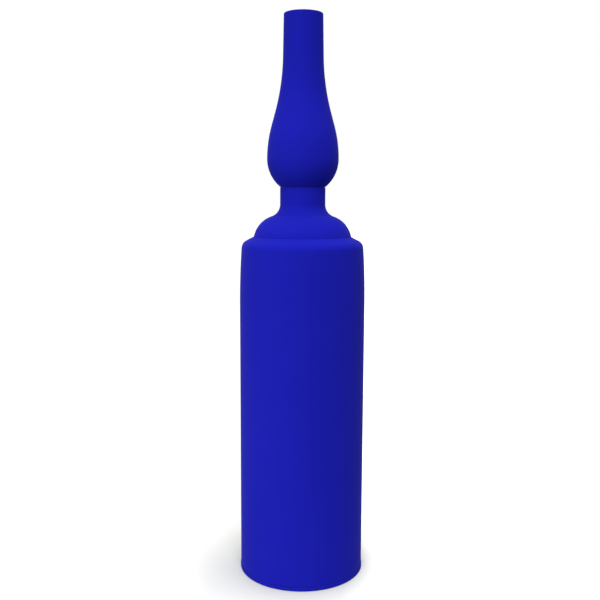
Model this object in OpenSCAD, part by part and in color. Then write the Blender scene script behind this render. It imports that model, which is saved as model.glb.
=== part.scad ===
// Tall double-walled bottle with a lift-out spindle stopper.
// Every piece is a solid of revolution about Z, standing on Z = 0.
// The outside is one run of tangent arcs and straight lines from the foot to
// the tube's end, and each wall is that same run drawn again one thickness in.

/* [Body tube] */
// Diameter of the body tube
body_d = 75.4; // [70:0.2:82]
// Height of the crease where the dome stands on the ledge
ledge_h = 206.5; // [180:0.5:230]
// Wall of the outer shell
shell_wall = 1.0; // [0.8:0.1:1.3]
// How far below the crease the tube starts to draw in
draw_in_len = 40; // [30:1:60]
// Radius of that long draw-in curve
draw_in_r = 490; // [400:10:900]

/* [Shoulder] */
// Radius that rolls the tube over into the ledge
shoulder_r = 6; // [4.5:0.25:7.5]
// Slope of the ledge, in degrees above level
ledge_slope = 30.5; // [24:0.5:36]
// Diameter of the crease at the foot of the dome
ledge_d = 58.4; // [54:0.2:61]

/* [Dome and neck] */
// Radius of the dome's curve
dome_r = 16.2; // [15:0.1:17.5]
// Lean of the dome's wall at its foot, in degrees from upright
dome_lean = 12.5; // [8:0.5:18]
// Radius of the hollow curve between the dome and the neck
neck_fillet = 7.6; // [6:0.1:9]
// Outside diameter of the neck
neck_d = 27; // [26:0.2:29]
// Height of the mouth above the crease
neck_rise = 29; // [27.5:0.5:34]
// Wall of the dome and the outer neck
dome_wall = 0.9; // [0.7:0.1:1.1]
// How far the shell's turned-up collar reaches above the crease, inside the dome
collar_rise = 4.5; // [3.8:0.1:6]

/* [Foot] */
// How far the foot cup stands proud of the body tube
foot_proud = 0.25; // [0.1:0.05:0.6]
// Height of the foot cup
foot_h = 2.3; // [2.2:0.1:4]
// Rounding of the foot cup's lower edge
foot_edge = 0.75; // [0.4:0.05:1]
// Thickness of the foot cup's rim
foot_rim = 0.95; // [0.7:0.05:1.2]
// Width of the ring that it stands on
stand_w = 6; // [4:0.5:10]
// Thickness of the foot cup's floor
cup_floor = 1.0; // [0.8:0.1:1.2]
// Hollow under the middle of the foot
foot_kick = 0.8; // [0.4:0.1:1]

/* [Bottom discs] */
// Thickness of the two dished discs
disc_wall = 0.8; // [0.6:0.1:1.1]
// Height of their turned-down flange
disc_flange = 3.6; // [2.5:0.1:4.5]
// How far their middle is pressed up
disc_rise = 1.8; // [0.8:0.1:2.2]
// Bend radius between flange and disc
disc_bend = 2.2; // [1.4:0.1:2.4]
// Height of the outer disc's flange above the floor
outer_disc_z = 4.8; // [4.4:0.1:6]
// Space between the two discs
disc_space = 3.6; // [3:0.1:6]

/* [Inner flask] */
// Empty space between the shell and the inner flask
wall_gap = 2.2; // [1.4:0.1:3]
// Wall of the inner flask
flask_wall = 0.8; // [0.6:0.1:1]
// Convex radius of the flask's shoulder
flask_shoulder_r = 16; // [12:0.5:20]
// Concave radius where the flask's shoulder turns into its neck
flask_throat_r = 8; // [6:0.5:10]
// Slope of the flask's shoulder, in degrees from upright
flask_slope = 60; // [52:1:66]
// Bore of the neck
bore_d = 20; // [19:0.2:21]
// Straight length of the bore below the mouth
bore_len = 24; // [23:0.5:27]
// Height of the ring that joins the inner and outer necks
mouth_ring_h = 3; // [2.4:0.1:4]
// Rounding of the mouth's inner edge
mouth_edge = 0.6; // [0.3:0.1:0.9]

/* [Stopper head] */
// Widest diameter of the bulb
bulb_d = 42.5; // [38:0.5:48]
// Height of the whole stopper above the mouth
stopper_h = 100; // [92:0.5:112]
// Radius of the bulb's upper curve
bulb_r = 72; // [60:1:76]
// Steepest lean of the taper, in degrees from upright
taper_lean = 15.2; // [14.6:0.1:17]
// Radius of the hollow curve that runs into the tube
ogee_r = 130; // [110:1:140]
// Taper of the tube, in degrees
tube_lean = 1; // [0.4:0.1:1.6]
// Diameter of the tube at its flat end
tube_d = 23; // [21:0.1:24]
// Wall of the stopper head
head_wall = 1.6; // [1.2:0.1:2]
// Rounding of the tube's outer end
tube_edge = 0.5; // [0.4:0.1:0.9]
// Depth of solid metal left at the bottom of the bulb
bulb_floor = 6; // [4:0.5:8]
// Thickness of the end cap
cap_t = 2; // [1.4:0.1:3]
// Depth of the ring under the end cap that locates it
cap_spigot = 3; // [2:0.5:5]

/* [Plug] */
// Length of the plug below the mouth
plug_len = 22; // [20:0.5:22.5]
// Gap all round between the plug's barrel and the bore
plug_gap = 0.7; // [0.4:0.1:1]
// Diameter of the stud that joins plug and head
stud_d = 5; // [4:0.5:6]
// How deep the stud goes into the plug
stud_down = 12; // [9:0.5:15]
// How deep the stud goes into the bush
stud_up = 6; // [4:0.5:6.5]
// Length of the bush in the stopper head
bush_len = 9; // [8:0.5:12]
// Wall of metal round the bush's bore at the head's underside
bush_rim = 2.7; // [2:0.1:3.4]

/* [Seals] */
// Depth of the seat gasket's recess in the head
seat_recess = 1; // [0.6:0.1:1.5]
// Slit that shows between the head and the mouth
seat_slit = 0.3; // [0.3:0.05:0.6]
// Metal left outside the seat gasket
seat_rim = 0.9; // [0.6:0.1:1.2]
// Height of a seal ring
ring_h = 2.5; // [2:0.1:3]
// Depth of a seal ring's groove in the barrel
ring_groove = 1.7; // [1.2:0.1:2]
// First ring's distance below the mouth
ring_first = 5; // [4.5:0.1:5.5]
// Distance from one ring to the next
ring_pitch = 6; // [5:0.1:6.5]

/* [Fits] */
// Gap at a pressed, welded or glued seat
seat_fit = 0.05; // [0.03:0.01:0.08]
// Running gap of a seal ring in the bore, all round
ring_fit = 0.05; // [0.03:0.01:0.09]

/* [Hidden] */

blue = "#1f22ad";
steel = "#b9bcc0";
white_plastic = "#e6e6e2";
silicone = "#2b2d30";

// One straight piece of each arc covers about this many degrees
arc_step = 3;
$fn = 120;

body_r = body_d / 2;
neck_r = neck_d / 2;
bore_r = bore_d / 2;
mouth_h = ledge_h + neck_rise;
top_h = mouth_h + stopper_h;

// ---- Curves ----

// Points along an arc of radius rad about [cr, cz], from angle a0 to a1
function arc(cr, cz, rad, a0, a1) =
    let (n = max(1, ceil(abs(a1 - a0) / arc_step)))
    [for (i = [0 : n]) let (a = a0 + (a1 - a0) * i / n)
        [cr + rad * cos(a), cz + rad * sin(a)]];

function reversed(list) = [for (i = [len(list) - 1 : -1 : 0]) list[i]];

// ---- Shell: draw-in arc, shoulder arc and ledge line, all tangent ----

draw_in_z = ledge_h - draw_in_len;
draw_in_c = body_r - draw_in_r;
ledge_r = ledge_d / 2;
// The ledge line's distance from the origin, along its normal
ledge_line = ledge_r * sin(ledge_slope) + ledge_h * cos(ledge_slope);
// Where the draw-in arc hands over to the shoulder arc
draw_in_end = asin((ledge_line - shoulder_r - draw_in_c * sin(ledge_slope)
                    - draw_in_z * cos(ledge_slope)) / (draw_in_r - shoulder_r))
              - ledge_slope;
shoulder_cr = draw_in_c + (draw_in_r - shoulder_r) * cos(draw_in_end);
shoulder_cz = draw_in_z + (draw_in_r - shoulder_r) * sin(draw_in_end);

// Height of the ledge at radius r, one wall t below its face
function ledge_z(r, t = 0) =
    ledge_h + (ledge_r - r) * tan(ledge_slope) - t / cos(ledge_slope);

// The shell's skin above the draw-in's start, t inside its face
function shoulder_path(t) = concat(
    arc(draw_in_c, draw_in_z, draw_in_r - t, 0, draw_in_end),
    arc(shoulder_cr, shoulder_cz, shoulder_r - t, draw_in_end, 90 - ledge_slope));

// ---- Dome and neck: convex arc, hollow arc and straight neck ----

dome_cr = ledge_r - dome_r * cos(dome_lean);
dome_cz = ledge_h - dome_r * sin(dome_lean);
fillet_cr = neck_r + neck_fillet;
fillet_cz = dome_cz + sqrt(pow(dome_r + neck_fillet, 2) - pow(fillet_cr - dome_cr, 2));
dome_end = atan2(fillet_cz - dome_cz, fillet_cr - dome_cr);

// Angle at which the dome's skin, t inside its face, is dz above the crease
function dome_angle(t, dz) = asin((ledge_h + dz - dome_cz) / (dome_r - t));

// The dome and neck's skin, t inside its face, from dz above the crease
function dome_path(t, dz) = concat(
    arc(dome_cr, dome_cz, dome_r - t, dome_angle(t, dz), dome_end),
    arc(fillet_cr, fillet_cz, neck_fillet + t, dome_end + 180, 180),
    [[neck_r - t, mouth_h]]);

// Radius of the collar that locates the dome from inside
collar_top = ledge_h + collar_rise;
collar_r = dome_cr + (dome_r - dome_wall) * cos(dome_angle(dome_wall, collar_rise)) - seat_fit;

// ---- Foot ----

foot_r = body_r + foot_proud;
cup_top = foot_kick + cup_floor;
joggle_r = foot_r - foot_rim - seat_fit;
joggle_z = foot_h + 2 * seat_fit;

// ---- Inner flask ----

flask_r = body_r - shell_wall - wall_gap;
flask_neck_z = mouth_h - bore_len;
flask_neck_r = bore_r + flask_wall;
outer_disc_top = outer_disc_z + disc_flange;
flask_z = outer_disc_top + disc_space;
// The straight stretch between the flask's two shoulder arcs
flask_run = (flask_r - flask_neck_r
             - (flask_shoulder_r + flask_throat_r) * (1 - cos(flask_slope))) / sin(flask_slope);
flask_shoulder_z = flask_neck_z - (flask_shoulder_r + flask_throat_r) * sin(flask_slope)
                   - flask_run * cos(flask_slope);

// The flask's skin, t inside its outer face, from its lower edge to its top
function flask_path(t) = concat(
    [[flask_r - t, flask_z]],
    arc(flask_r - flask_shoulder_r, flask_shoulder_z, flask_shoulder_r - t, 0, flask_slope),
    arc(flask_neck_r + flask_throat_r, flask_neck_z, flask_throat_r + t, flask_slope + 180, 180),
    [[flask_neck_r - t, mouth_h - mouth_ring_h - seat_fit]]);

// ---- Stopper head: sphere, swelling, straight taper, hollow curve, tube ----

head_z = mouth_h + seat_slit;
ball_r = bulb_d / 2;
bulb_z = head_z + sqrt(pow(ball_r, 2) - pow(neck_r, 2));
tube_r = tube_d / 2;
// Radius left for the straight taper and the tube once both curves are drawn
taper_rest = ball_r - tube_r - top_h * tan(tube_lean) - bulb_r * (1 - cos(taper_lean))
             - ogee_r * (cos(tube_lean) - cos(taper_lean));
tube_z = (bulb_z + bulb_r * sin(taper_lean) + taper_rest / tan(taper_lean)
          + ogee_r * (sin(taper_lean) - sin(tube_lean)))
         / (1 - tan(tube_lean) / tan(taper_lean));
// Radius of the tube's outside at height z
function tube_at(z) = tube_r + (top_h - z) * tan(tube_lean);

// The head's skin from the widest place up to height z, t inside its face
function head_upper(t, z) = concat(
    arc(ball_r - bulb_r, bulb_z, bulb_r - t, 0, taper_lean),
    arc(tube_at(tube_z) + ogee_r * cos(tube_lean), tube_z + ogee_r * sin(tube_lean),
        ogee_r + t, 180 + taper_lean, 180 + tube_lean),
    [[tube_at(z) - t, z]]);

// The ball below the widest place, t inside its face, from height z up
function head_lower(t, z) = arc(0, bulb_z, ball_r - t, asin((z - bulb_z) / (ball_r - t)), 0);

bush_r = neck_r - bush_rim - seat_fit;
cavity_z = head_z + seat_recess + bulb_floor;
cap_z = top_h - cap_t;
cap_r = tube_at(top_h) - tube_edge - 0.15;
gasket_top = head_z + seat_recess;
gasket_r = neck_r - seat_rim - seat_fit;
stud_r = stud_d / 2;
spigot_r = stud_r + 2.5;
spigot_rise = 2.4;

// ---- Plug ----

barrel_r = bore_r - plug_gap;
groove_r = barrel_r - ring_groove;
plug_nose = 2.2;

// Height of seal ring i's middle
function ring_z(i) = mouth_h - ring_first - i * ring_pitch;

// ---- Pieces that stay with the bottle ----

// Body tube with its joggled foot, drawn-in top, rolled shoulder and ledge,
// and the short collar turned up inside the dome
module outer_shell() {
    color(blue) rotate_extrude() polygon(concat(
        [[joggle_r, cup_top + seat_fit], [joggle_r, joggle_z], [body_r, joggle_z]],
        shoulder_path(0),
        [[collar_r, ledge_z(collar_r)], [collar_r, collar_top],
         [collar_r - shell_wall, collar_top],
         [collar_r - shell_wall, ledge_z(collar_r - shell_wall, shell_wall)]],
        reversed(shoulder_path(shell_wall)),
        [[body_r - shell_wall, joggle_z + 2 * shell_wall],
         [joggle_r - shell_wall, joggle_z + shell_wall],
         [joggle_r - shell_wall, cup_top + seat_fit]]));
}

// Foot cup: rim that stands proud, standing ring and kicked-up middle
module base_cup() {
    stand_r = foot_r - foot_edge - stand_w;
    color(blue) rotate_extrude() polygon(concat(
        [[0, foot_kick], [stand_r - foot_kick, foot_kick], [stand_r, 0]],
        arc(foot_r - foot_edge, foot_edge, foot_edge, -90, 0),
        [[foot_r, foot_h], [foot_r - foot_rim, foot_h], [foot_r - foot_rim, cup_top],
         [0, cup_top]]));
}

// Pressed disc with a turned-down flange; z is the flange's lower edge
module dished_disc(r, z) {
    top = z + disc_flange;
    flat_r = r - disc_bend;
    dish_r = (pow(flat_r, 2) + pow(disc_rise, 2)) / (2 * disc_rise);
    dish_a = asin(flat_r / dish_r);
    // The dish is so shallow that eight straight pieces follow it
    function dish(t) = [for (i = [0 : 8]) let (a = dish_a * (1 - i / 8))
        [(dish_r - t) * sin(a), top - t + disc_rise - dish_r + (dish_r * cos(a))]];
    rotate_extrude() polygon(concat(
        [[r - disc_wall, z], [r, z]],
        arc(flat_r, top - disc_bend, disc_bend, 0, 90),
        dish(0),
        reversed(dish(disc_wall)),
        reversed(arc(flat_r, top - disc_bend, disc_bend - disc_wall, 0, 80))));
}

// Disc that closes the shell above the foot cup
module outer_bottom() {
    color(steel) dished_disc(body_r - shell_wall - seat_fit, outer_disc_z);
}

// Disc that closes the inner flask
module inner_bottom() {
    color(steel) dished_disc(flask_r - flask_wall - seat_fit, flask_z);
}

// Inner flask: straight wall, its own shoulder, and the neck's bore
module inner_flask() {
    color(steel) rotate_extrude()
        polygon(concat(flask_path(0), reversed(flask_path(flask_wall))));
}

// Dome and outer neck, cut underneath to the ledge's slope
module shoulder_dome() {
    foot_in_r = ledge_r - dome_wall - 0.2;
    color(blue) rotate_extrude() polygon(concat(
        [[foot_in_r, ledge_z(foot_in_r) + seat_fit]],
        dome_path(0, seat_fit),
        reversed(dome_path(dome_wall, ledge_z(foot_in_r) - ledge_h + 2 * seat_fit))));
}

// Ring that closes the space between the two necks and carries the stopper
module mouth_ring() {
    ring_r = neck_r - dome_wall - seat_fit;
    color(steel) rotate_extrude() polygon(concat(
        [[bore_r, mouth_h - mouth_ring_h],
         [flask_neck_r + seat_fit, mouth_h - mouth_ring_h],
         [flask_neck_r + seat_fit, mouth_h - 2 * mouth_ring_h],
         [ring_r, mouth_h - 2 * mouth_ring_h],
         [ring_r, mouth_h]],
        arc(bore_r + mouth_edge, mouth_h - mouth_edge, mouth_edge, 90, 180)));
}

// ---- Pieces that lift out with the stopper ----

// Hollow head: ball, taper and tube, bored for the bush and recessed for the
// seat gasket underneath, and counterbored for the cap on top
module stopper_head() {
    bush_bore = bush_r + seat_fit;
    color(blue) rotate_extrude() polygon(concat(
        head_lower(0, head_z),
        head_upper(0, top_h - tube_edge),
        arc(tube_r - tube_edge, top_h - tube_edge, tube_edge, 0, 90),
        [[cap_r + seat_fit, top_h], [cap_r + seat_fit, cap_z]],
        reversed(head_upper(head_wall, cap_z)),
        reversed(head_lower(head_wall, cavity_z)),
        [[bush_bore, cavity_z], [bush_bore, gasket_top],
         [gasket_r + seat_fit, gasket_top], [gasket_r + seat_fit, head_z]]));
}

// End cap with its locating ring
module head_cap() {
    spigot_out = tube_at(cap_z) - head_wall - seat_fit;
    color(blue) rotate_extrude() polygon([
        [0, cap_z + seat_fit], [spigot_out - 1.2, cap_z + seat_fit],
        [spigot_out - 1.2, cap_z - cap_spigot], [spigot_out, cap_z - cap_spigot],
        [spigot_out, cap_z + seat_fit], [cap_r, cap_z + seat_fit],
        [cap_r, top_h - 0.2], [cap_r - 0.2, top_h], [0, top_h]]);
}

// Bush pressed into the head: socket for the plug's spigot, then stud hole
module head_bush() {
    socket_r = spigot_r + seat_fit;
    hole_r = stud_r + seat_fit;
    socket_top = gasket_top + spigot_rise + seat_fit;
    hole_top = socket_top + stud_up;
    color(white_plastic) rotate_extrude() polygon([
        [socket_r, gasket_top + seat_fit], [bush_r, gasket_top + seat_fit],
        [bush_r, gasket_top + bush_len - 1], [bush_r - 1, gasket_top + bush_len],
        [hole_r, gasket_top + bush_len], [hole_r, hole_top],
        [hole_r, socket_top], [socket_r, socket_top]]);
}

// Stud between the plug and the bush, with chamfered ends
module stopper_stud() {
    low = mouth_h - stud_down + seat_fit;
    high = gasket_top + spigot_rise + stud_up;
    chamfer = 0.5;
    color(steel) rotate_extrude() polygon([
        [0, low], [stud_r - chamfer, low], [stud_r, low + chamfer],
        [stud_r, high - chamfer], [stud_r - chamfer, high], [0, high]]);
}

// Plug: spigot, grooved barrel with a rounded nose, and the stud's blind hole
module plug_core() {
    groove_h = ring_h + 2 * seat_fit;
    plug_z = mouth_h - plug_len;
    color(white_plastic) difference() {
        rotate_extrude() polygon(concat(
            [[0, plug_z], [barrel_r - plug_nose, plug_z]],
            arc(barrel_r - plug_nose, plug_z + plug_nose, plug_nose, -90, 0),
            [[barrel_r, mouth_h], [spigot_r, mouth_h],
             [spigot_r, gasket_top + spigot_rise], [0, gasket_top + spigot_rise]]));
        for (i = [0 : 2])
            translate([0, 0, ring_z(i) - groove_h / 2])
                difference() {
                    cylinder(h = groove_h, r = barrel_r + 1);
                    translate([0, 0, -1]) cylinder(h = groove_h + 2, r = groove_r);
                }
        translate([0, 0, mouth_h - stud_down])
            cylinder(h = stud_down + 10, r = stud_r + seat_fit);
    }
}

// Flat washer between the mouth ring and the head
module seat_gasket() {
    color(silicone) translate([0, 0, mouth_h]) difference() {
        cylinder(h = gasket_top - mouth_h, r = gasket_r);
        translate([0, 0, -1])
            cylinder(h = gasket_top - mouth_h + 2, r = spigot_r + seat_fit);
    }
}

// Seal ring i: flat inside, round lip outside
module seal_ring(i) {
    lip_r = ring_h / 2;
    color(silicone) translate([0, 0, ring_z(i)]) rotate_extrude() polygon(concat(
        [[groove_r + seat_fit, -lip_r]],
        arc(bore_r - ring_fit - lip_r, 0, lip_r, -90, 90),
        [[groove_r + seat_fit, lip_r]]));
}

module seal_ring_top() { seal_ring(0); }
module seal_ring_middle() { seal_ring(1); }
module seal_ring_bottom() { seal_ring(2); }

outer_shell();
base_cup();
outer_bottom();
inner_flask();
inner_bottom();
shoulder_dome();
mouth_ring();
stopper_head();
head_cap();
head_bush();
stopper_stud();
plug_core();
seat_gasket();
seal_ring_top();
seal_ring_middle();
seal_ring_bottom();
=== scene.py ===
# %% [markdown]
# # A tall blue bottle with a spindle stopper
#
# The real object is a double-walled steel bottle. Everything on it is turned,
# spun or pressed round one axis, and all of the outside wears one matt
# ultramarine powder coat. The construction model already holds every piece at
# its real size. This lesson gives the outside its finish, rounds the edges
# that a press and a coat of powder leave soft, and lights it like the
# photograph: evenly, on white, with one faint shadow on the left.

import math

import bpy
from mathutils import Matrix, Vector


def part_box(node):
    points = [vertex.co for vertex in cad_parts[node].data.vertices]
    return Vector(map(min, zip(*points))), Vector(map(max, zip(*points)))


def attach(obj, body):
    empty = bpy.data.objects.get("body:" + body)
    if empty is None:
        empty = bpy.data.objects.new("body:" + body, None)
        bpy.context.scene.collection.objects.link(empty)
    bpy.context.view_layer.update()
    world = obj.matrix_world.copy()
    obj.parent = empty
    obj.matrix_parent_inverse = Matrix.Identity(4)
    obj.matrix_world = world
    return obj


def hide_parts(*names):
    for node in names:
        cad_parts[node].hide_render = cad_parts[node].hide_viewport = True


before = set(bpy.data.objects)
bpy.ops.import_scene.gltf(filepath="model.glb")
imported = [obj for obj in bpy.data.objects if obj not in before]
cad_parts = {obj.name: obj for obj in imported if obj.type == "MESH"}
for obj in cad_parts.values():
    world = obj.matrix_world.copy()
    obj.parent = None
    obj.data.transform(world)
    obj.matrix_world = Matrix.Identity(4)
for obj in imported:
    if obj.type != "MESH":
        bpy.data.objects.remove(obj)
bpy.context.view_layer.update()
MM = 0.001
print("CAD nodes:", len(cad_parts))

# %% [markdown]
# ## Working like a modeller, in code
#
# Every operator acts on whatever is selected, and the loader leaves the CAD
# nodes selected. So each new piece starts from an empty selection. The
# functions below are the ones that the pieces use: start clean, pick one
# object, choose vertices or faces by their place, and finish with merged
# doubles, outward faces and smooth shading that stops at real edges.

# %% Small modelling helpers
WELD_MM = 0.002  # vertices of a finished piece that are closer become one
SMOOTH_BELOW = 32  # degrees between two faces, past which an edge stays an edge
RUBBER_SMOOTH_BELOW = 50
print(f"doubles within {WELD_MM} mm merge, edges past {SMOOTH_BELOW} degrees stay")


def start_clean():
    """Leave edit mode and deselect everything."""
    if bpy.context.object and bpy.context.object.mode != "OBJECT":
        bpy.ops.object.mode_set(mode="OBJECT")
    bpy.ops.object.select_all(action="DESELECT")


def pick(piece):
    """Make one object the active one, and the only one selected."""
    start_clean()
    piece.select_set(True)
    bpy.context.view_layer.objects.active = piece


def choose(piece, kind, test):
    """In edit mode, select the vertices or faces that pass a test."""
    bpy.ops.mesh.select_all(action="DESELECT")
    bpy.ops.mesh.select_mode(type="VERT" if kind == "vertices" else "FACE")
    bpy.ops.object.mode_set(mode="OBJECT")
    elements = piece.data.vertices if kind == "vertices" else piece.data.polygons
    for element in elements:
        element.select = bool(test(element))
    bpy.ops.object.mode_set(mode="EDIT")


def finish_piece(piece, body, replaced, material, sharp=SMOOTH_BELOW):
    """Close the mesh, set its shading, and hand the piece to its CAD body."""
    if bpy.context.object.mode != "EDIT":
        bpy.ops.object.mode_set(mode="EDIT")
    bpy.ops.mesh.select_all(action="SELECT")
    bpy.ops.mesh.remove_doubles(threshold=WELD_MM * MM)
    bpy.ops.mesh.normals_make_consistent(inside=False)
    bpy.ops.object.mode_set(mode="OBJECT")
    bpy.ops.object.transform_apply(location=True, rotation=True, scale=True)
    bpy.ops.object.shade_smooth_by_angle(angle=math.radians(sharp))
    piece.data.materials.clear()
    piece.data.materials.append(material)
    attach(piece, body)
    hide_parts(replaced)
    size = [round(d / MM, 2) for d in piece.dimensions]
    print(f"{piece.name}: {len(piece.data.polygons)} faces, {size} mm")
    return piece


# %% [markdown]
# ## The camera
#
# The photograph's outline fixes the camera. The foot is seen from well above
# and the stopper's flat end from below, so the camera stands level with the
# neck, half a metre away, and looks down a little. The bottle's axis misses
# the middle of the picture by nearly three pixels, which the lens shift
# repeats.

# %% Camera
PHOTO_PX = 600
FOCAL_PX = 811.6  # the focal length, in the photograph's own pixels
SENSOR_MM = 36
AXIS_PX = 302.75  # where the bottle's axis meets the picture's middle row
CAMERA_AWAY, CAMERA_UP = 488.3, 230.9  # mm
PITCH_DOWN, ROLL = 0.1284, 0.0046  # radians

camera_data = bpy.data.cameras.new("camera")
camera_data.sensor_width = SENSOR_MM
camera_data.lens = FOCAL_PX * SENSOR_MM / PHOTO_PX
camera_data.shift_x = -(AXIS_PX - PHOTO_PX / 2) / PHOTO_PX
camera = bpy.data.objects.new("camera", camera_data)
camera.location = (0, -CAMERA_AWAY * MM, CAMERA_UP * MM)
camera.rotation_euler = (math.pi / 2 - PITCH_DOWN, -ROLL, 0)
bpy.context.scene.collection.objects.link(camera)
bpy.context.scene.camera = camera
bpy.context.scene.view_settings.view_transform = "Standard"
print(f"lens {camera_data.lens:.2f} mm, {CAMERA_AWAY} mm from the axis")

# %% [markdown]
# ## Colours and nodes
#
# Colours are written as they look on a screen, in sRGB hex, and one function
# turns them to the linear values that the shaders work in. A second function
# adds a node with its settings, its links and, on a colour ramp, its stops,
# so a material reads as a list of what is joined to what. Most finishes here
# are two close tints that a noise texture blends.

# %% Colour and node helpers
NOISE_LOW, NOISE_HIGH = 0.3, 0.7  # a noise texture seldom leaves this range


def colour(hex_code):
    """sRGB hex to a linear RGBA tuple."""
    channels = [int(hex_code[i : i + 2], 16) / 255 for i in (1, 3, 5)]
    return tuple(
        c / 12.92 if c <= 0.04045 else ((c + 0.055) / 1.055) ** 2.4 for c in channels
    ) + (1.0,)


def add(tree, kind, links=None, stops=(), **settings):
    """Add a node: settings fill its values, stops its ramp, links its sockets."""
    node = tree.nodes.new(kind)
    for name, value in settings.items():
        if hasattr(node, name):
            setattr(node, name, value)
        else:
            node.inputs[name.replace("_", " ")].default_value = value
    for index, (position, shade) in enumerate(stops):
        ramp = node.color_ramp.elements
        element = ramp[index] if index < len(ramp) else ramp.new(position)
        element.position, element.color = position, shade
    for socket, source in (links or {}).items():
        tree.links.new(source, node.inputs[socket])
    return node


def per_mm(size_mm):
    """Texture scale for Object coordinates, in metres, from a size in mm."""
    return 1 / (size_mm * MM)


def new_material(name):
    """A material with an empty node tree, and the Object coordinates in it."""
    material = bpy.data.materials.new(name)
    material.use_nodes = True
    tree = material.node_tree
    tree.nodes.clear()
    place = add(tree, "ShaderNodeTexCoord").outputs["Object"]
    return material, tree, place


def close_material(tree, shader):
    """Join the shader to the material's output."""
    add(tree, "ShaderNodeOutputMaterial", {"Surface": shader.outputs[0]})


print("mid grey on a screen is", round(colour("#808080")[0], 3), "in linear light")

# %% [markdown]
# ## Matt powder coat
#
# Powder is sprayed on dry and baked, so it melts into one even skin. A matt
# powder cures rough on the smallest scale: it scatters light so widely that
# no highlight shows, only a slightly paler rim where one looks along the
# surface. Close up it has a slow orange peel about 1.6 mm across, with a
# fine tooth on top. Real tooth is near 0.1 mm, too fine to show, so it is
# drawn at 0.35 mm. The specular level is kept low, because the photograph
# shows a surface with no gloss at all, and a trace of sheen gives the rim.

# %% Powder coat material
PEEL_MM, PEEL_DEEP = 1.6, 0.03  # mm across, mm deep
TOOTH_MM, TOOTH_DEEP = 0.35, 0.02
CLOUD_MM = 45  # a batch of powder varies this slowly over the wall


def make_powder_coat():
    material, tree, place = new_material("matt ultramarine powder coat")
    peel = add(tree, "ShaderNodeTexNoise", {"Vector": place},
               Scale=per_mm(PEEL_MM), Detail=2.0, Roughness=0.5)
    tooth = add(tree, "ShaderNodeTexNoise", {"Vector": place},
                Scale=per_mm(TOOTH_MM), Detail=3.0, Roughness=0.6)
    cloud = add(tree, "ShaderNodeTexNoise", {"Vector": place},
                Scale=per_mm(CLOUD_MM), Detail=2.0, Roughness=0.5)
    tint = add(tree, "ShaderNodeValToRGB", {"Fac": cloud.outputs["Fac"]},
               stops=((NOISE_LOW, colour("#181bae")), (NOISE_HIGH, colour("#1a1db1"))))
    rough = add(tree, "ShaderNodeMapRange", {"Value": tooth.outputs["Fac"]},
                To_Min=0.84, To_Max=0.94)
    low = add(tree, "ShaderNodeBump", {"Height": peel.outputs["Fac"]},
              Strength=0.06, Distance=PEEL_DEEP * MM)
    fine = add(tree, "ShaderNodeBump",
               {"Height": tooth.outputs["Fac"], "Normal": low.outputs["Normal"]},
               Strength=0.12, Distance=TOOTH_DEEP * MM)
    coat = add(tree, "ShaderNodeBsdfPrincipled",
               {"Base Color": tint.outputs["Color"],
                "Roughness": rough.outputs["Result"],
                "Normal": fine.outputs["Normal"]},
               Metallic=0.0, IOR=1.5, Specular_IOR_Level=0.07,
               Sheen_Weight=0.03, Sheen_Roughness=0.4)
    close_material(tree, coat)
    return material


powder_coat = make_powder_coat()
print(f"{powder_coat.name}: {len(powder_coat.node_tree.nodes)} nodes")

# %% [markdown]
# ## Turned stainless steel
#
# Inside the mouth the steel is bare. It was spun and then brushed on the
# lathe, so its scratches run round the axis. They are long one way and short
# the other: the noise is squeezed along Z and hardly changes round the bore.

# %% Steel material
SCRATCH_LONG, SCRATCH_HIGH, SCRATCH_DEEP = 6, 0.12, 0.01  # mm round, along Z, deep


def make_brushed_steel():
    material, tree, place = new_material("stainless steel, brushed on the lathe")
    squeeze = add(tree, "ShaderNodeMapping", {"Vector": place},
                  Scale=(per_mm(SCRATCH_LONG), per_mm(SCRATCH_LONG), per_mm(SCRATCH_HIGH)))
    scratch = add(tree, "ShaderNodeTexNoise", {"Vector": squeeze.outputs["Vector"]},
                  Scale=1.0, Detail=4.0, Roughness=0.65)
    tint = add(tree, "ShaderNodeValToRGB", {"Fac": scratch.outputs["Fac"]},
               stops=((NOISE_LOW, colour("#a9abad")), (NOISE_HIGH, colour("#cfd0d1"))))
    rough = add(tree, "ShaderNodeMapRange", {"Value": scratch.outputs["Fac"]},
                To_Min=0.24, To_Max=0.42)
    bump = add(tree, "ShaderNodeBump", {"Height": scratch.outputs["Fac"]},
               Strength=0.25, Distance=SCRATCH_DEEP * MM)
    steel = add(tree, "ShaderNodeBsdfPrincipled",
                {"Base Color": tint.outputs["Color"],
                 "Roughness": rough.outputs["Result"],
                 "Normal": bump.outputs["Normal"]},
                Metallic=1.0)
    close_material(tree, steel)
    return material


brushed_steel = make_brushed_steel()
print(f"{brushed_steel.name}: {len(brushed_steel.node_tree.nodes)} nodes")

# %% [markdown]
# ## Moulded plastic and silicone
#
# The plug and its bush are polypropylene from a spark-eroded mould, which
# leaves an even satin grain about half a millimetre across. The rings and
# the gasket are silicone, tinted a deep navy that is painted shade: it keeps
# the gap above the mouth as dark as the shade under the bulb. A soft bloom
# dulls their shine.

# %% Plastic and silicone materials
MOTTLE_MM, GRAIN_DEEP, BLEED_MM = 7, 0.02, 1.5


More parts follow.
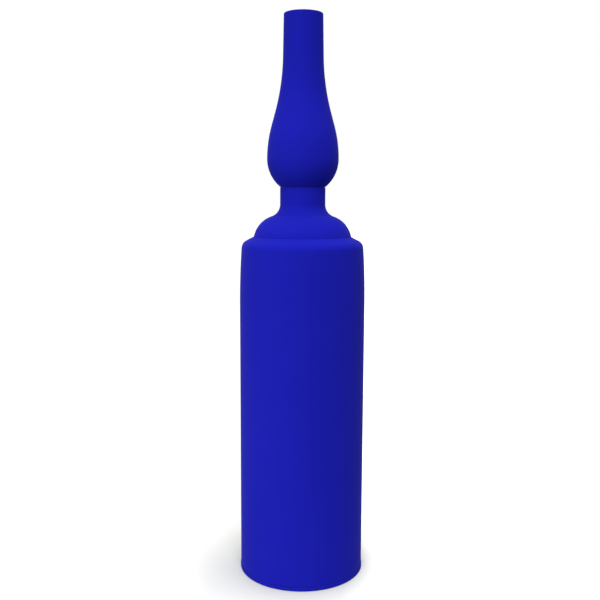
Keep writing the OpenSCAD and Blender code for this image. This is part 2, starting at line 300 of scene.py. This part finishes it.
def make_moulded(name, dark, light, grain_mm, rough, ior, shine, bleed):
    """A moulded polymer: mottled tint, even grain, and light bleeding in."""
    material, tree, place = new_material(name)
    mottle = add(tree, "ShaderNodeTexNoise", {"Vector": place},
                 Scale=per_mm(MOTTLE_MM), Detail=2.0)
    grain = add(tree, "ShaderNodeTexVoronoi", {"Vector": place}, Scale=per_mm(grain_mm))
    tint = add(tree, "ShaderNodeValToRGB", {"Fac": mottle.outputs["Fac"]},
               stops=((NOISE_LOW, colour(dark)), (NOISE_HIGH, colour(light))))
    roughness = add(tree, "ShaderNodeMapRange", {"Value": grain.outputs["Distance"]},
                    To_Min=rough[0], To_Max=rough[1])
    bump = add(tree, "ShaderNodeBump", {"Height": grain.outputs["Distance"]},
               Strength=0.15, Distance=GRAIN_DEEP * MM)
    polymer = add(tree, "ShaderNodeBsdfPrincipled",
                  {"Base Color": tint.outputs["Color"],
                   "Roughness": roughness.outputs["Result"],
                   "Normal": bump.outputs["Normal"]},
                  IOR=ior, Specular_IOR_Level=shine,
                  Subsurface_Weight=bleed, Subsurface_Scale=BLEED_MM * MM)
    close_material(tree, polymer)
    return material


polypropylene = make_moulded(
    "polypropylene, moulded with a fine grain", "#dedfdb", "#e7e7e3",
    grain_mm=0.5, rough=(0.42, 0.55), ior=1.49, shine=0.5, bleed=0.1)
# the navy tint is painted shade for the dark slit under the bulb
silicone = make_moulded(
    "silicone rubber, moulded and cured", "#14162a", "#1a1c30",
    grain_mm=0.4, rough=(0.5, 0.65), ior=1.41, shine=0.2, bleed=0.03)
print("polymers:", polypropylene.name, "and", silicone.name)

# %% [markdown]
# ## Sizes that the pieces share
#
# The frame gives each CAD node's box, so the heights and radii that a box
# shows are read from it. The curves between them aren't in a box. They are
# the construction's own sizes, in millimetres, and have the same names. A few
# are eased by a fraction of a millimetre, where the photograph's shading asks
# for it.

# %% Shared sizes
BODY, STOPPER = "bottle", "stopper"
SLICES = 192  # a facet is then 1.2 mm on the body, too flat to see


def reach(node):
    """Lowest z, highest z and outer radius of a CAD node, in mm."""
    low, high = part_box(node)
    return low.z / MM, high.z / MM, high.x / MM


_, foot_high, foot_r = reach("base_cup")
shell_low, collar_top, body_r = reach("outer_shell")
crease_z, mouth_z, ledge_r = reach("shoulder_dome")
head_low, top_z, ball_r = reach("stopper_head")
neck_r = 13.5  # the dome's box is as wide as its foot, so the neck isn't in it
seat_fit = 0.05  # gap between pieces that fit together
print(f"body {body_r:.2f}, ledge {ledge_r:.2f} at {crease_z:.2f}, mouth {mouth_z:.2f}")


def arc(centre_r, centre_z, radius, start, end, step=2.5):
    """Points along an arc in the section plane, from start to end degrees."""
    count = max(2, math.ceil(abs(end - start) / step))
    angles = [math.radians(start + (end - start) * i / count) for i in range(count + 1)]
    return [(centre_r + radius * math.cos(a), centre_z + radius * math.sin(a))
            for a in angles]


def cos_d(degrees):
    return math.cos(math.radians(degrees))


def sin_d(degrees):
    return math.sin(math.radians(degrees))


def tan_d(degrees):
    return math.tan(math.radians(degrees))


# %% [markdown]
# ## Turning a piece
#
# A spun or turned piece is the same section all the way round. On the real
# lathe the tool follows a template. Here the template is an outline that
# Extrude draws point by point from one merged vertex, and Spin carries it
# round the axis. A lathe made this way keeps both faces of the wall, which a
# Solidify modifier on a single skin would thicken unevenly at the curves.

# %% Lathe
SEED_MM, TEMPLATE_WELD_MM = 0.01, 0.001
print(f"{SLICES} slices: {2 * math.pi * body_r / SLICES:.2f} mm each round the body")


def turn(name, outline, slices=SLICES):
    """Spin a closed outline of (radius, height) points, in mm, round Z."""
    start_clean()
    first_r, first_z = outline[0]
    bpy.ops.mesh.primitive_plane_add(
        size=SEED_MM * MM, location=(first_r * MM, 0, first_z * MM))
    piece = bpy.context.object
    piece.name = piece.data.name = name
    bpy.ops.object.transform_apply(location=True, rotation=True, scale=True)
    bpy.ops.object.mode_set(mode="EDIT")
    bpy.ops.mesh.select_all(action="SELECT")
    bpy.ops.mesh.merge(type="CENTER")
    for (r0, z0), (r1, z1) in zip(outline, outline[1:] + outline[:1]):
        bpy.ops.mesh.extrude_region_move(
            TRANSFORM_OT_translate={"value": ((r1 - r0) * MM, 0, (z1 - z0) * MM)})
    bpy.ops.mesh.select_all(action="SELECT")
    bpy.ops.mesh.remove_doubles(threshold=TEMPLATE_WELD_MM * MM)
    bpy.ops.mesh.spin(steps=slices, angle=2 * math.pi, center=(0, 0, 0), axis=(0, 0, 1),
                      use_auto_merge=True)
    return piece


def round_corner(before, corner, after, radius, step=12):
    """Replace a corner of an outline by an arc tangent to both of its sides."""
    ax, az = before[0] - corner[0], before[1] - corner[1]
    bx, bz = after[0] - corner[0], after[1] - corner[1]
    a_len, b_len = math.hypot(ax, az), math.hypot(bx, bz)
    ax, az, bx, bz = ax / a_len, az / a_len, bx / b_len, bz / b_len
    half = math.acos(max(-1, min(1, ax * bx + az * bz))) / 2
    back = radius / math.tan(half)
    mid_x, mid_z = ax + bx, az + bz
    mid_len = math.hypot(mid_x, mid_z)
    centre = (corner[0] + mid_x / mid_len * radius / math.sin(half),
              corner[1] + mid_z / mid_len * radius / math.sin(half))
    start = math.atan2(corner[1] + az * back - centre[1],
                       corner[0] + ax * back - centre[0])
    end = math.atan2(corner[1] + bz * back - centre[1],
                     corner[0] + bx * back - centre[0])
    turn_by = (end - start + math.pi) % (2 * math.pi) - math.pi
    return arc(centre[0], centre[1], radius, math.degrees(start),
               math.degrees(start + turn_by), step)


# %% [markdown]
# ## Body tube
#
# The tube is drawn steel. A roller pulls its top in over the last 40 mm by a
# millimetre and a half, rolls it over at a 5 mm radius, and leaves a ledge
# that slopes at 27 degrees under the dome. The roll is a little tighter than
# the construction's, because the bright band on the ledge ends sharply in the
# photograph. Below, the tube is stepped in so that the foot cup wraps round
# it. Powder bridges small inside corners, so the step above the foot cup gets
# a radius of its own.

# %% Body tube piece
shell_wall, collar_r = 1.0, 26.25
wall_rows = (30, 60, 90, 120, 145)  # where the straight wall is divided
draw_in_len, draw_in_r = 40, 490
shoulder_r, ledge_slope, ledge_drop = 5.2, 27, 0.3
foot_rim, step_ease = 0.95, 0.3

crease_z -= seat_fit  # the dome's box starts one fit above the crease
ledge_top = crease_z - ledge_drop
draw_in_z = ledge_top - draw_in_len
draw_in_c = body_r - draw_in_r
ledge_line = ledge_r * sin_d(ledge_slope) + ledge_top * cos_d(ledge_slope)
draw_in_end = math.degrees(math.asin(
    (ledge_line - shoulder_r - draw_in_c * sin_d(ledge_slope)
     - draw_in_z * cos_d(ledge_slope)) / (draw_in_r - shoulder_r))) - ledge_slope
shoulder_cr = draw_in_c + (draw_in_r - shoulder_r) * cos_d(draw_in_end)
shoulder_cz = draw_in_z + (draw_in_r - shoulder_r) * sin_d(draw_in_end)


def ledge_z(radius, depth=0.0):
    """Height of the ledge at a radius, depth below its face."""
    rise = (ledge_r - radius) * tan_d(ledge_slope)
    return ledge_top + rise - depth / cos_d(ledge_slope)


def shoulder(depth):
    """The tube's drawn-in top and rolled shoulder, depth inside its face."""
    return (arc(draw_in_c, draw_in_z, draw_in_r - depth, 0, draw_in_end, 0.5)
            + arc(shoulder_cr, shoulder_cz, shoulder_r - depth, draw_in_end,
                  90 - ledge_slope)[1:])


def make_outer_shell():
    step_r = foot_r - foot_rim - seat_fit
    step_z = foot_high + 2 * seat_fit
    outline = [(step_r, shell_low), (step_r, step_z)]
    outline += round_corner((step_r, step_z), (body_r, step_z),
                            (body_r, wall_rows[0]), step_ease)
    outline += [(body_r, z) for z in wall_rows]
    outline += shoulder(0)
    outline += [(collar_r, ledge_z(collar_r)), (collar_r, collar_top),
                (collar_r - shell_wall, collar_top),
                (collar_r - shell_wall, ledge_z(collar_r - shell_wall, shell_wall))]
    outline += shoulder(shell_wall)[::-1]
    outline += [(body_r - shell_wall, step_z + 2 * shell_wall),
                (step_r - shell_wall, step_z + shell_wall),
                (step_r - shell_wall, shell_low)]
    piece = turn("body_tube", outline)
    return finish_piece(piece, BODY, "outer_shell", powder_coat)


body_tube = make_outer_shell()

# %% [markdown]
# ## Foot cup
#
# The cup is pressed from thin sheet and pushed over the stepped end of the
# tube. It shows as a lip 2.3 mm high that stands a quarter of a millimetre
# proud. The photograph shows that lip as one fine line just above the floor,
# so its upper edge is rounded enough to catch light.

# %% Foot cup piece
foot_edge, stand_w = 0.75, 6
foot_kick, cup_top = 0.8, 1.8
kick_ease, stand_ease, rim_ease = 0.6, 0.4, 0.15


def make_foot_cup():
    stand_r = foot_r - foot_edge - stand_w
    rim_in = foot_r - foot_rim
    outline = [(0, foot_kick)]
    kick = (stand_r - foot_kick, foot_kick)
    outline += round_corner((0, foot_kick), kick, (stand_r, 0), kick_ease)
    outline += round_corner(kick, (stand_r, 0), (foot_r, 0), stand_ease)
    outline += arc(foot_r - foot_edge, foot_edge, foot_edge, -90, 0, step=8)
    outline += round_corner((foot_r, 0), (foot_r, foot_high), (rim_in, foot_high), rim_ease)
    outline += [(rim_in, foot_high), (rim_in, cup_top), (0, cup_top)]
    piece = turn("foot_cup", outline)
    return finish_piece(piece, BODY, "base_cup", powder_coat)


foot_cup = make_foot_cup()

# %% [markdown]
# ## Dome and neck
#
# The dome is spun over a form and brazed to the ledge. Its wall leans in at
# the foot, rolls over at 16 mm, and turns back out of a 7.6 mm hollow into
# the straight neck. Where it stands on the ledge the photograph shows a
# crisp crease, so that edge stays sharp, and only the lip is eased.

# %% Dome and neck piece
dome_r, dome_lean, neck_fillet, dome_wall = 16.2, 12.5, 7.6, 0.9
dome_lip, mouth_ease = 0.2, 0.2
dome_cr = ledge_r - dome_r * cos_d(dome_lean)
dome_cz = crease_z - dome_r * sin_d(dome_lean)
fillet_cr = neck_r + neck_fillet
fillet_cz = dome_cz + math.sqrt((dome_r + neck_fillet) ** 2 - (fillet_cr - dome_cr) ** 2)
dome_end = math.degrees(math.atan2(fillet_cz - dome_cz, fillet_cr - dome_cr))


def dome(depth, rise):
    """The dome and neck's face, depth inside it, from rise above the crease."""
    start = math.degrees(math.asin((crease_z + rise - dome_cz) / (dome_r - depth)))
    return (arc(dome_cr, dome_cz, dome_r - depth, start, dome_end)
            + arc(fillet_cr, fillet_cz, neck_fillet + depth, dome_end + 180, 180)[1:])


def make_dome():
    foot_in_r = ledge_r - dome_wall - dome_lip
    outline = [(foot_in_r, ledge_z(foot_in_r) + seat_fit)]
    outline += dome(0, seat_fit - ledge_drop)
    outline += round_corner((neck_r, fillet_cz), (neck_r, mouth_z),
                            (neck_r - dome_wall, mouth_z), mouth_ease)
    outline += [(neck_r - dome_wall, mouth_z)]
    outline += dome(dome_wall, ledge_z(foot_in_r) - crease_z + 2 * seat_fit)[::-1]
    piece = turn("dome_and_neck", outline)
    return finish_piece(piece, BODY, "shoulder_dome", powder_coat)


dome_and_neck = make_dome()

# %% [markdown]
# ## Stopper head
#
# The head is the form that one remembers: a ball that sits on the mouth,
# swells into a pear and runs out into a tube. It is turned hollow. Four
# curves meet without a corner: the ball's own 21 mm radius, a 72 mm arc
# above its widest place, a short straight taper, and a 130 mm hollow curve
# that ends on the tube's slight taper.

# %% Stopper head piece
bulb_r, taper_lean, ogee_r, tube_lean = 72, 15.2, 130, 1
tube_r, head_wall, tube_edge = 11.5, 1.6, 0.5
seat_recess, bulb_floor = 1, 6
cap_t, cap_land = 2, 0.15
bulb_z = head_low + math.sqrt(ball_r**2 - neck_r**2)
taper_rest = (ball_r - tube_r - top_z * tan_d(tube_lean)
              - bulb_r * (1 - cos_d(taper_lean))
              - ogee_r * (cos_d(tube_lean) - cos_d(taper_lean)))
tube_z = ((bulb_z + bulb_r * sin_d(taper_lean) + taper_rest / tan_d(taper_lean)
           + ogee_r * (sin_d(taper_lean) - sin_d(tube_lean)))
          / (1 - tan_d(tube_lean) / tan_d(taper_lean)))
cap_r = tube_r - tube_edge - cap_land
gasket_top = head_low + seat_recess


def tube_at(height):
    """Outer radius of the tube at a height."""
    return tube_r + (top_z - height) * tan_d(tube_lean)


def head_face(depth, low, high):
    """The head's face from low to high, depth inside it."""
    start = math.degrees(math.asin((low - bulb_z) / (ball_r - depth)))
    return (arc(0, bulb_z, ball_r - depth, start, 0)
            + arc(ball_r - bulb_r, bulb_z, bulb_r - depth, 0, taper_lean, 1)[1:]
            + arc(tube_at(tube_z) + ogee_r * cos_d(tube_lean),
                  tube_z + ogee_r * sin_d(tube_lean), ogee_r + depth,
                  180 + taper_lean, 180 + tube_lean, 1)
            + [(tube_at(high) - depth, high)])


def make_head():
    bush_bore, gasket_bore = 10.8, 12.6
    outline = head_face(0, head_low, top_z - tube_edge)
    outline += arc(tube_r - tube_edge, top_z - tube_edge, tube_edge, 0, 90, step=8)
    outline += [(cap_r + seat_fit, top_z), (cap_r + seat_fit, top_z - cap_t)]
    outline += head_face(head_wall, gasket_top + bulb_floor, top_z - cap_t)[::-1]
    outline += [(bush_bore, gasket_top + bulb_floor), (bush_bore, gasket_top),
                (gasket_bore, gasket_top), (gasket_bore, head_low)]
    piece = turn("stopper_spindle", outline)
    return finish_piece(piece, STOPPER, "stopper_head", powder_coat)


stopper_spindle = make_head()

# %% [markdown]
# ## End cap
#
# The photograph looks up at the tube's end, so it never shows the cap. A
# turned metal cap, pressed in flush, is what such a tube has. It starts as a
# cylinder. The underside is inset and drawn down to a hollow spigot. The top
# is inset and its middle sunk a little, so the press leaves a clean ring, and
# the rim is pushed down to a narrow chamfer.

# %% End cap piece
spigot_len, spigot_wall = 3, 1.2
rim_w, ring_w, slope_w = 0.25, 1.6, 0.3
rim_drop, middle_drop = 0.12, 0.15
facing = 0.9  # a face whose normal has this much Z in it looks up, or down
level_slack = 0.01  # mm, within which a face or vertex counts as on the top


def make_end_cap():
    start_clean()
    thick = cap_t - seat_fit
    spigot_out = tube_at(top_z - cap_t) - head_wall - seat_fit
    bpy.ops.mesh.primitive_cylinder_add(
        vertices=SLICES, radius=cap_r * MM, depth=thick * MM,
        location=(0, 0, (top_z - thick / 2) * MM))
    piece = bpy.context.object
    piece.name = piece.data.name = "end_cap"
    bpy.ops.object.transform_apply(location=True, rotation=True, scale=True)
    bpy.ops.object.mode_set(mode="EDIT")
    choose(piece, "faces", lambda f: f.normal.z < -facing)
    bpy.ops.mesh.inset(thickness=(cap_r - spigot_out) * MM)
    bpy.ops.mesh.extrude_region_move(
        TRANSFORM_OT_translate={"value": (0, 0, -spigot_len * MM)})
    bpy.ops.mesh.inset(thickness=spigot_wall * MM)
    bpy.ops.mesh.extrude_region_move(
        TRANSFORM_OT_translate={"value": (0, 0, spigot_len * MM)})
    choose(piece, "faces",
           lambda f: f.normal.z > facing and f.center.z > (top_z - level_slack) * MM)
    for width in (rim_w, ring_w, slope_w):
        bpy.ops.mesh.inset(thickness=width * MM)
    bpy.ops.transform.translate(value=(0, 0, -middle_drop * MM))
    choose(piece, "vertices",
           lambda v: v.co.z > (top_z - level_slack) * MM
           and v.co.xy.length > (cap_r - rim_w / 2) * MM)
    bpy.ops.transform.translate(value=(0, 0, -rim_drop * MM))
    return finish_piece(piece, STOPPER, "head_cap", powder_coat)


end_cap = make_end_cap()

# %% [markdown]
# ## Mouth ring
#
# This ring closes the space between the two necks and carries the stopper.
# It is turned from bar, and its inner edge is rounded so that the seal rings
# slide in without tearing.

# %% Mouth ring piece
bore_r, flask_wall, mouth_ring_h = 10, 0.8, 3
mouth_edge, ring_out_ease = 0.6, 0.15


def make_mouth_ring():
    ring_r = neck_r - dome_wall - seat_fit
    slot_r = bore_r + flask_wall + seat_fit
    slot_z = mouth_z - mouth_ring_h
    skirt_z = slot_z - mouth_ring_h
    outline = [(bore_r, slot_z), (slot_r, slot_z), (slot_r, skirt_z), (ring_r, skirt_z)]
    outline += round_corner((ring_r, slot_z), (ring_r, mouth_z), (bore_r, mouth_z),
                            ring_out_ease)
    outline += arc(bore_r + mouth_edge, mouth_z - mouth_edge, mouth_edge, 90, 180, step=9)
    piece = turn("mouth_lip_ring", outline)
    return finish_piece(piece, BODY, "mouth_ring", brushed_steel)


mouth_lip_ring = make_mouth_ring()

# %% [markdown]
# ## Plug
#
# The plug is one polypropylene moulding: a spigot that goes up into the
# head's bush, and a barrel with three grooves and a round nose. A mould
# leaves no sharp inside corner, so the lips and floors of the grooves are
# rounded, and a shallow dish in the nose hides the mark of the gate.

# %% Plug piece
plug_nose, barrel_r, groove_r, ring_h = 2.2, 9.3, 7.6, 2.5
lip_ease, groove_ease, spigot_ease = 0.2, 0.25, 0.3
dish_r, dish_foot_r, dish_deep = 4.4, 3.6, 0.6
dish_ease, dish_lip = 0.4, 0.3
plug_low, spigot_top, barrel_far = reach("plug_core")
hole_floor, _, stud_r = reach("stopper_stud")
ring_middles = [sum(reach(f"seal_ring_{place}")[:2]) / 2
                for place in ("bottom", "middle", "top")]
spigot_r = stud_r + 2.5  # the plastic is 2.5 mm thick round the stud


def groove(middle):
    """Outline of one groove, from its lower lip to its upper lip."""
    low, high = middle - ring_h / 2 - seat_fit, middle + ring_h / 2 + seat_fit
    below, above = (barrel_r, low - ring_h), (barrel_r, high + ring_h)
    return (round_corner(below, (barrel_r, low), (groove_r, low), lip_ease)
            + round_corner((barrel_r, low), (groove_r, low), (groove_r, high), groove_ease)
            + round_corner((groove_r, low), (groove_r, high), (barrel_r, high), groove_ease)
            + round_corner((groove_r, high), (barrel_r, high), above, lip_ease))


def make_plug():
    hole_r = stud_r + seat_fit
    hole_end = hole_floor - seat_fit
    dish_middle, dish_foot = (0, plug_low + dish_deep), (dish_foot_r, plug_low + dish_deep)
    dish_rim, nose_in = (dish_r, plug_low), (barrel_r - plug_nose, plug_low)
    outline = [dish_middle]
    outline += round_corner(dish_middle, dish_foot, dish_rim, dish_ease)
    outline += round_corner(dish_foot, dish_rim, nose_in, dish_lip)
    outline += arc(barrel_r - plug_nose, plug_low + plug_nose, plug_nose, -90, 0, step=7.5)
    for middle in ring_middles:
        outline += groove(middle)
    outline += round_corner((barrel_r, ring_middles[-1]), (barrel_r, mouth_z),
                            (spigot_r, mouth_z), lip_ease)
    outline += [(spigot_r, mouth_z)]
    outline += round_corner((spigot_r, mouth_z), (spigot_r, spigot_top),
                            (hole_r, spigot_top), spigot_ease)
    outline += [(hole_r, spigot_top), (hole_r, hole_end), (0, hole_end)]
    piece = turn("plug_barrel", outline)
    return finish_piece(piece, STOPPER, "plug_core", polypropylene)


plug_barrel = make_plug()
print(f"barrel {barrel_far:.2f} mm in radius, in a bore of {bore_r} mm")

# %% [markdown]
# ## Seal rings
#
# Three silicone rings do the sealing. Each is moulded: flat where it lies in
# its groove, and with three small ribs where it meets the bore. The middle
# rib reaches farthest and seals, and the outer two wipe the wall and keep
# the ring from rolling. The ribs are arcs in the template, so the same lathe
# makes them. All three rings come from one mould, so the top one is turned
# and then duplicated into the other two grooves, each copy with its own mesh.

# %% Seal ring pieces
rib_r, wiper_z, wiper_short = 0.38, 0.8, 0.33
ring_ease, rib_step = 0.35, 14


def turn_seal_ring(place):
    low, high, far = reach(f"seal_ring_{place}")
    middle = (low + high) / 2
    inner_r = groove_r + seat_fit
    seal_c = far - rib_r
    wiper_c = seal_c - wiper_short
    outline = round_corner((far, low), (inner_r, low), (inner_r, high), ring_ease)[::-1]
    outline += [(far - ring_h / 2, low)]
    outline += arc(wiper_c, middle - wiper_z, rib_r, -90, 50, rib_step)
    outline += arc(seal_c, middle, rib_r, -100, 100, rib_step)
    outline += arc(wiper_c, middle + wiper_z, rib_r, -50, 90, rib_step)
    outline += [(far - ring_h / 2, high)]
    outline += round_corner((far, high), (inner_r, high), (inner_r, low), ring_ease)
    return turn(f"silicone_ring_{place}", outline, SLICES // 2)


def copy_seal_ring(ring, place, rise):
    pick(ring)
    bpy.ops.object.duplicate(linked=False)
    copy = bpy.context.object
    copy.name = copy.data.name = f"silicone_ring_{place}"
    copy.location.z = rise * MM
    return copy


ring_bottom, ring_middle, ring_top = ring_middles
top_ring = turn_seal_ring("top")
seal_rings = {"top": top_ring,
              "middle": copy_seal_ring(top_ring, "middle", ring_middle - ring_top),
              "bottom": copy_seal_ring(top_ring, "bottom", ring_bottom - ring_top)}
for place, ring in seal_rings.items():
    pick(ring)
    finish_piece(ring, STOPPER, f"seal_ring_{place}", silicone,
                 sharp=RUBBER_SMOOTH_BELOW)

# %% [markdown]
# ## Seat gasket
#
# The gasket lies under the head and closes on the mouth ring. A flat washer
# would seal with its whole face, which takes force, so moulded ones carry a
# round bead that needs less. A thin lip squeezes out into the slit between
# neck and bulb, and its navy tint is painted shade there: it shows as the
# dark line of shade under the bulb. The corners are eased, because a
# press-moulded rubber never fills them.

# %% Seat gasket piece
bead_r, bead_round, bead_out = 11.2, 0.5, 0.12
lip_back, lip_round, lip_gap = 0.15, 0.12, 0.03
washer_ease = 0.25


def make_seat_gasket():
    low, high, far = reach("seat_gasket")
    inner_r = spigot_r + seat_fit
    face_z = low + bead_out
    slit_top = head_low - lip_gap
    lip_c = neck_r - lip_back - lip_round
    outline = round_corner((far, face_z), (inner_r, face_z), (inner_r, high),
                           washer_ease)[::-1]
    outline += arc(bead_r, low + bead_round, bead_round, -130, -50, step=16)
    # the lip's navy tint in the slit is painted shade under the bulb
    outline += arc(lip_c, (low + slit_top) / 2, lip_round, -90, 90, step=30)
    outline += [(far, slit_top)]
    outline += round_corner((far, low), (far, high), (inner_r, high), washer_ease)
    outline += round_corner((far, high), (inner_r, high), (inner_r, low), washer_ease)
    piece = turn("gasket_washer", outline, SLICES // 2)
    return finish_piece(piece, STOPPER, "seat_gasket", silicone,
                        sharp=RUBBER_SMOOTH_BELOW)


gasket_washer = make_seat_gasket()

# %% [markdown]
# ## Bush, stud and the walls inside
#
# The remaining nodes already have the shape that their real counterparts
# have, and they never show. They stay as they are and only take their
# material: the bush is moulded plastic, and the flask, its discs and the
# stud are steel.

# %% Finish the CAD nodes that stay
KEPT = {
    "head_bush": polypropylene,
    "inner_flask": brushed_steel,
    "inner_bottom": brushed_steel,
    "outer_bottom": brushed_steel,
    "stopper_stud": brushed_steel,
}
for node_name, material in KEPT.items():
    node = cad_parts[node_name]
    for slot in node.material_slots:
        slot.link = "OBJECT"
        slot.material = material
print("kept:", sorted(KEPT))
dressed = [body_tube, foot_cup, dome_and_neck, stopper_spindle, end_cap,
           mouth_lip_ring, plug_barrel, gasket_washer, *seal_rings.values()]
print(len(dressed), "dressed, faces:", sum(len(p.data.polygons) for p in dressed))

# %% [markdown]
# ## Floor and backdrop
#
# The photograph has no horizon: floor and wall are one white. The lamps
# aren't turned up for that, because they would burn the bottle too. Instead
# the floor shows a camera ray a little light of its own on top of what falls
# on it, just enough to reach white where nothing shades it. Ambient occlusion
# takes that glow away in the corner under the bottle, and the glow grows
# towards the right, where the photograph has hardly any shadow. Its weakest
# band is turned so that it runs back behind the bottle. For every other ray
# the floor is a round sheet of grey paper that fades to a dark room 34 cm
# out. So the bottle gets its bounce from close by, and its undersides stay
# deep.

# %% Floor
FLOOR_M, FLOOR_DROP = 12, 0.05  # metres across, mm below the standing ring
GLOW_STOPS = ((0, 0.5), (0.25, 0.41), (0.625, 0.61), (0.71, 0.98))  # left to right
GLOW_SPAN, GLOW_TURN = 200, 3  # mm that the stops cover, degrees to the back
CORNER_REACH, CORNER_DEPTH = 46, 2.35  # mm, and the power of the occlusion
SHEET_SPAN, SHEET_LEFT, SHEET_FRONT = 340, 110, 50
SHEET_FULL = 0.85  # how near its middle the sheet has its full tint


def seen_by_lens(tree):
    """1 for rays that form the picture: camera, glossy and transmission."""
    path = add(tree, "ShaderNodeLightPath")
    both = add(tree, "ShaderNodeMath",
               {0: path.outputs["Is Camera Ray"], 1: path.outputs["Is Glossy Ray"]},
               operation="MAXIMUM")
    every = add(tree, "ShaderNodeMath",
                {0: both.outputs[0], 1: path.outputs["Is Transmission Ray"]},
                operation="MAXIMUM")
    return every.outputs[0]


def make_floor():
    start_clean()
    bpy.ops.mesh.primitive_plane_add(size=FLOOR_M, location=(0, 0, -FLOOR_DROP * MM))
    floor = bpy.context.object
    floor.name = floor.data.name = "studio_floor"
    bpy.ops.object.transform_apply(location=True, rotation=True, scale=True)
    material, tree, place = new_material("white studio paper")
    spread = add(tree, "ShaderNodeMapping", {"Vector": place},
                 Scale=(per_mm(SHEET_SPAN),) * 3,
                 Location=(SHEET_LEFT / SHEET_SPAN, SHEET_FRONT / SHEET_SPAN, 0))
    near = add(tree, "ShaderNodeTexGradient", {"Vector": spread.outputs["Vector"]},
               gradient_type="SPHERICAL")
    fade = add(tree, "ShaderNodeValToRGB", {"Fac": near.outputs["Fac"]},
               stops=((0, colour("#353535")), (SHEET_FULL, colour("#999999"))))
    paper = add(tree, "ShaderNodeBsdfDiffuse", {"Color": fade.outputs["Color"]})
    sheet = add(tree, "ShaderNodeBsdfDiffuse", Color=colour("#d5d3cc"))
    half_span = GLOW_SPAN * MM / 2
    turned = add(tree, "ShaderNodeMapping", {"Vector": place}, vector_type="TEXTURE",
                 Rotation=(0, 0, -math.radians(GLOW_TURN)),
                 Location=(-half_span * cos_d(GLOW_TURN), half_span * sin_d(GLOW_TURN), 0),
                 Scale=(GLOW_SPAN * MM,) * 3)
    across = add(tree, "ShaderNodeSeparateXYZ", {"Vector": turned.outputs["Vector"]})
    level = add(tree, "ShaderNodeValToRGB", {"Fac": across.outputs["X"]},
                stops=[(position, (grey, grey, grey, 1)) for position, grey in GLOW_STOPS])
    open_sky = add(tree, "ShaderNodeAmbientOcclusion",
                   Distance=CORNER_REACH * MM, samples=8)
    deeper = add(tree, "ShaderNodeMath", {0: open_sky.outputs["AO"]}, operation="POWER")
    deeper.inputs[1].default_value = CORNER_DEPTH
    strength = add(tree, "ShaderNodeMath",
                   {0: level.outputs["Color"], 1: deeper.outputs[0]}, operation="MULTIPLY")
    glow = add(tree, "ShaderNodeEmission", {"Strength": strength.outputs[0]},
               Color=colour("#fafbff"))
    shown = add(tree, "ShaderNodeAddShader", {0: sheet.outputs[0], 1: glow.outputs[0]})
    seen = add(tree, "ShaderNodeMixShader",
               {"Fac": seen_by_lens(tree), 1: paper.outputs[0], 2: shown.outputs[0]})
    close_material(tree, seen)
    floor.data.materials.append(material)
    return floor


studio_floor = make_floor()
print(f"{studio_floor.name}: {FLOOR_M} m across, sheet {SHEET_SPAN} mm in radius")

# %% Backdrop
ROOM_LIGHT = 0.406


def make_backdrop():
    world = bpy.data.worlds.new("white studio")
    bpy.context.scene.world = world
    world.use_nodes = True
    tree = world.node_tree
    tree.nodes.clear()
    room = add(tree, "ShaderNodeBackground", Color=colour("#ffffff"), Strength=ROOM_LIGHT)
    white = add(tree, "ShaderNodeBackground", Color=colour("#ffffff"), Strength=1.0)
    mix = add(tree, "ShaderNodeMixShader",
              {"Fac": seen_by_lens(tree), 1: room.outputs[0], 2: white.outputs[0]})
    add(tree, "ShaderNodeOutputWorld", {"Surface": mix.outputs[0]})
    return world


backdrop = make_backdrop()
print(f"{backdrop.name}: white to the lens, {ROOM_LIGHT} of that to the bottle")

# %% [markdown]
# ## Light
#
# The bottle's shading tells where the light stood. It is brightest on what
# faces up and just left of the camera: that is the key light, broad and soft,
# 43 degrees up. A panel overhead lights the ledge and leaves the dome in the
# bulb's soft shade. The lower left of the body is lighter than the stopper,
# because the white table throws light up from close by. A glowing card that
# lies beside the bottle does that here, and a faint fill stands on the right.
# The shadow on the left comes from the floor's own glow, which is weaker
# there. A lamp isn't seen by the camera, so none of them shows.

# %% Lamps
AXIS_FOOT = (0, 0, 0)


def light(name, kind, place, aim, **settings):
    """A lamp at a place in mm, turned towards another."""
    lamp = bpy.data.lights.new(name, kind)
    for key, value in settings.items():
        setattr(lamp, key, value)
    holder = bpy.data.objects.new(name, lamp)
    holder.location = [c * MM for c in place]
    away = [a - b for a, b in zip(place, aim)]
    tilt = math.atan2(math.hypot(away[0], away[1]), away[2])
    holder.rotation_euler = (tilt, 0, math.atan2(away[0], -away[1]))
    bpy.context.scene.collection.objects.link(holder)
    return holder


def toward(azimuth, elevation, distance):
    """A place in mm, azimuth degrees to the right of the camera's side."""
    return (distance * sin_d(azimuth) * cos_d(elevation),
            -distance * cos_d(azimuth) * cos_d(elevation), distance * sin_d(elevation))


key_light = light("broad_key_light", "SUN",
                  toward(azimuth=-6, elevation=43, distance=2000), AXIS_FOOT,
                  color=(0.95, 1.0, 1.0), energy=2.25, angle=math.radians(45))
overhead = light("overhead_panel", "AREA", (0, 60, 1000), (0, 0, 150),
                 shape="SQUARE", size=450 * MM, energy=2.15)
table_card = light("table_card", "AREA", (-300, -120, 2), (-150, -60, 150),
                   shape="SQUARE", size=250 * MM, energy=0.85)
right_fill = light("right_fill", "AREA", (450, -60, 120), (0, 0, 120),
                   shape="SQUARE", size=300 * MM, energy=0.14)
lamps = (key_light, overhead, table_card, right_fill)
print("lamps:", {lamp.name: round(lamp.data.energy, 2) for lamp in lamps})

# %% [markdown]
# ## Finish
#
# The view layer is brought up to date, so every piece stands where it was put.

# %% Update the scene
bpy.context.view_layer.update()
